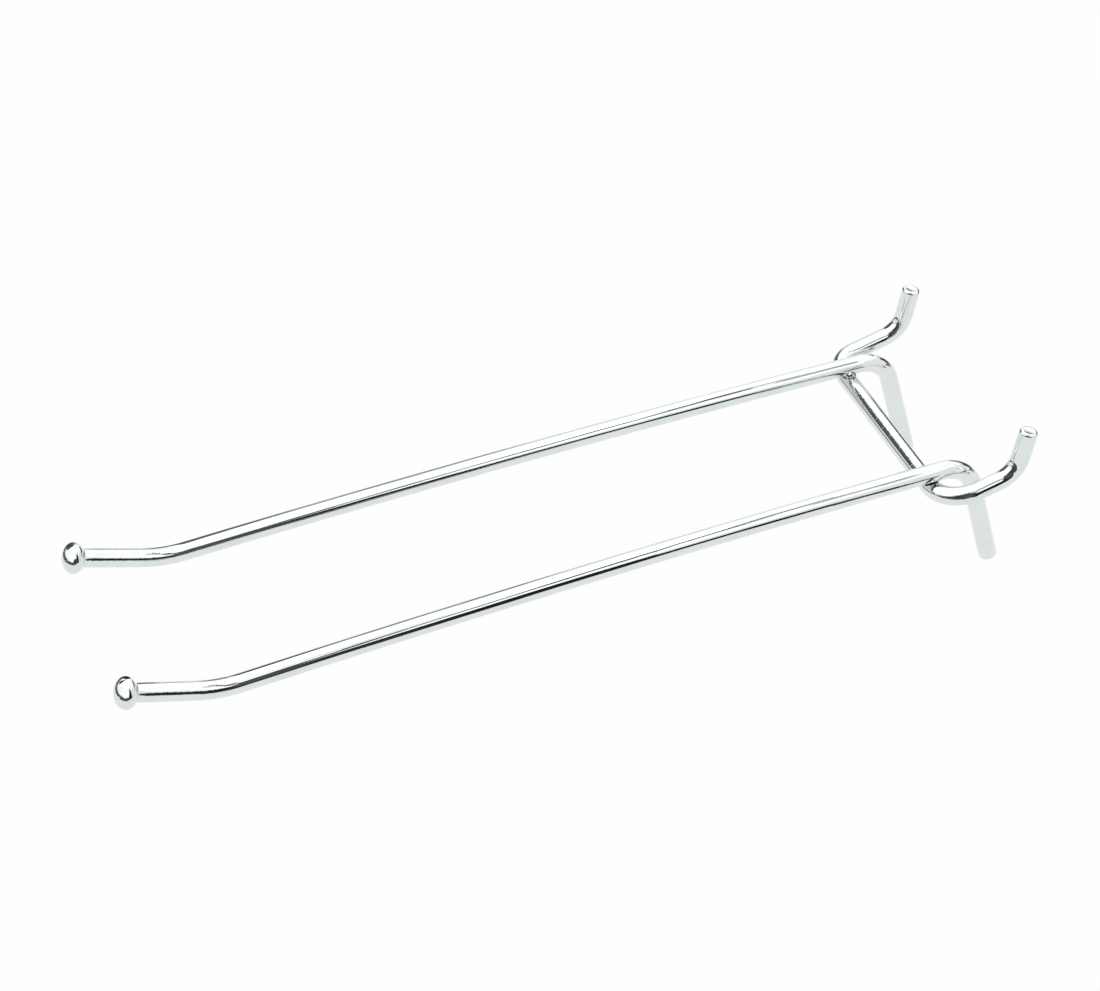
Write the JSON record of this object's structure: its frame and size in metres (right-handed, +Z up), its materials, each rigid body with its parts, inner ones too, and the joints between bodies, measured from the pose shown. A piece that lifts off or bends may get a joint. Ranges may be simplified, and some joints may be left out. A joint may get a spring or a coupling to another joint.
{
  "type": "pegboard hook",
  "caption": "Pegboard hook of bright plated steel wire: rising ball-tipped arms with bearing legs, welded to a back wire whose pegs hook up behind the board.",
  "frame": {"origin": "on the board's front face, midway between the pegs, at the height of the runs' axes", "axes": "+Y into the board along the runs, +Z up the board, +X to the right when facing the board; the arms reach out along -Y and rise"},
  "size_m": [0.0544, 0.1792, 0.0706],
  "materials": {
    "plated_wire": "bright zinc or nickel plating on drawn steel wire, mirror-like with faint drawing lines",
    "weld": "plated over, a little rough and darker than the wire"
  },
  "bodies": {
    "root": {"left_prong": "plated_wire", "right_prong": "plated_wire", "back_wire": "plated_wire", "left_weld": "weld", "right_weld": "weld"}
  },
  "joints": []
}
